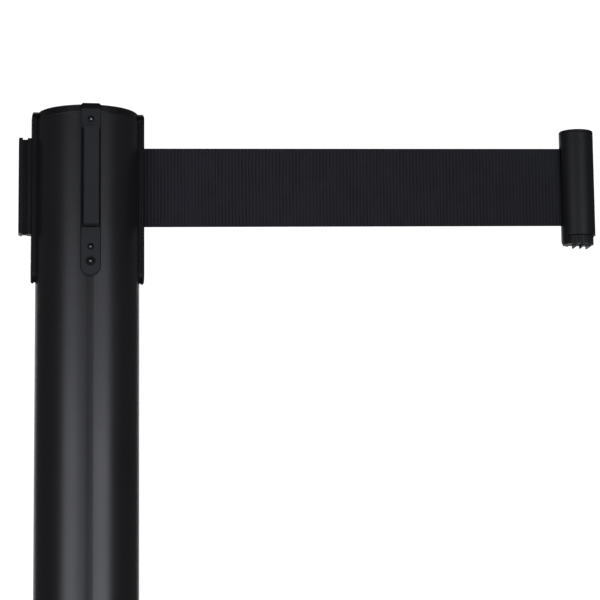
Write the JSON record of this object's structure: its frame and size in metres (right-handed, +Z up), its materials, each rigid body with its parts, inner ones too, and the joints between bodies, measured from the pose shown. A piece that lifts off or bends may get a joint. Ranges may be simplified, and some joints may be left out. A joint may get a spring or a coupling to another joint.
{
  "type": "retractable belt stanchion",
  "caption": "Crowd-control post: weighted round base, black tube, domed cap, vertical T receivers round the head and a sprung retractable belt with a round end that docks on another post.",
  "frame": {"origin": "on the floor, on the axis of the post", "axes": "+Z up along the post, +X the way the belt leaves the outlet strip, the front receiver faces -Y"},
  "size_m": [0.4953, 0.356, 1.0164],
  "materials": {
    "powder_coat": "satin black powder coat with a fine texture",
    "cast_iron": "rough casting, oiled",
    "floor_rubber": "matte moulded rubber",
    "head_plastic": "fine moulded grain",
    "black_screws": "black oxide",
    "zinc_steel": "bright zinc plate",
    "cassette_plastic": "moulded",
    "spool_plastic": "natural moulded plastic",
    "nylon": "natural nylon",
    "spring_steel": "blued spring steel",
    "brake_alloy": "die cast",
    "brake_lining": "matte friction lining",
    "belt_webbing": "woven polyester with fine cross ribs",
    "end_plastic": "satin moulded plastic"
  },
  "bodies": {
    "post": {"rubber_floor_pad": "floor_rubber", "base_weight": "cast_iron", "base_cover": "powder_coat", "base_bolt": "zinc_steel", "base_washer": "zinc_steel", "spring_washer": "zinc_steel", "foot_plug": "zinc_steel", "post_tube": "powder_coat", "top_cap": "head_plastic", "receiver_front": "head_plastic", "receiver_left": "head_plastic", "receiver_back": "head_plastic", "outlet_strip": "head_plastic", "strip_screws_top": "black_screws", "strip_screws_lower": "black_screws", "strip_screws_large": "black_screws", "cassette_wall": "cassette_plastic", "cassette_floor": "cassette_plastic", "cassette_lid": "cassette_plastic", "spool_axle": "zinc_steel", "spring_arbor": "zinc_steel", "brake_drum": "zinc_steel", "outlet_frame": "cassette_plastic", "roller_pins": "zinc_steel", "clock_spring": "spring_steel", "belt_feed": "belt_webbing"},
    "spool": {"spool_hub": "spool_plastic", "spool_flange_upper": "spool_plastic", "spool_flange_lower": "spool_plastic", "spool_bushings": "nylon", "spring_case": "spool_plastic", "spring_case_lid": "spool_plastic", "brake_hub": "spool_plastic", "shoe_pins": "zinc_steel", "belt_roll": "belt_webbing"},
    "shoe_right": {"brake_shoe_right": "brake_alloy", "brake_lining_right": "brake_lining"},
    "shoe_left": {"brake_shoe_left": "brake_alloy", "brake_lining_left": "brake_lining"},
    "roller_front": {"guide_roller_front": "nylon"},
    "roller_back": {"guide_roller_back": "nylon"},
    "belt_line": {"belt_span": "belt_webbing"},
    "belt_tail": {"belt_loop": "belt_webbing"},
    "belt_end": {"barrel": "end_plastic", "barrel_cap": "end_plastic", "barrel_pin": "zinc_steel", "lock_screw": "zinc_steel"},
    "lock": {"lock_ring": "end_plastic"}
  },
  "joints": [
    {"name": "belt_swing", "type": "hinge", "parent": "post", "child": "belt_line", "pos_m": [0.027, 0, 0.9677], "axis": [0, 0, 1], "range_deg": [-17, 23]},
    {"name": "belt_pull", "type": "slide", "parent": "belt_line", "child": "belt_tail", "axis": [0.9986, -0.0527, 0.01], "range_m": [-0.2596, 1.72], "stiffness_N_per_m": 3, "springref_m": -2, "deforming": ["belt_span"]},
    {"name": "end_swivel", "type": "hinge", "parent": "belt_tail", "child": "belt_end", "pos_m": [0.3032, -0.01457, 0.97049], "axis": [0, 0, 1], "range_deg": [-15, 15]},
    {"name": "lock_turn", "type": "hinge", "parent": "belt_end", "child": "lock", "pos_m": [0.3066, -0.01475, 0.97049], "axis": [0, 0, 1], "range_deg": [-90, 0]},
    {"name": "spool_spin", "type": "hinge", "parent": "post", "child": "spool", "pos_m": [0, 0, 0.9677], "axis": [0, 0, 1], "continuous": true, "deforming": ["clock_spring"]},
    {"name": "shoe_right_out", "type": "hinge", "parent": "spool", "child": "shoe_right", "pos_m": [0.00864, -0.01771, 0.9155], "axis": [0, 0, -1], "range_deg": [0, 4.5], "stiffness_Nm_per_rad": 0.02},
    {"name": "shoe_left_out", "type": "hinge", "parent": "spool", "child": "shoe_left", "pos_m": [-0.00864, 0.01771, 0.9155], "axis": [0, 0, -1], "range_deg": [0, 4.5], "stiffness_Nm_per_rad": 0.02},
    {"name": "roller_front_spin", "type": "hinge", "parent": "post", "child": "roller_front", "pos_m": [0.027, -0.00345, 0.9677], "axis": [0, 0, 1], "continuous": true},
    {"name": "roller_back_spin", "type": "hinge", "parent": "post", "child": "roller_back", "pos_m": [0.027, 0.00345, 0.9677], "axis": [0, 0, 1], "continuous": true}
  ],
  "couplings": [
    {"joint": "spool_spin", "follows": "belt_pull", "rad_per_m": -48.54},
    {"joint": "roller_front_spin", "follows": "belt_pull", "rad_per_m": -344.8},
    {"joint": "roller_back_spin", "follows": "belt_pull", "rad_per_m": 344.8},
    {"joint": "shoe_left_out", "follows": "shoe_right_out", "ratio": 1}
  ]
}
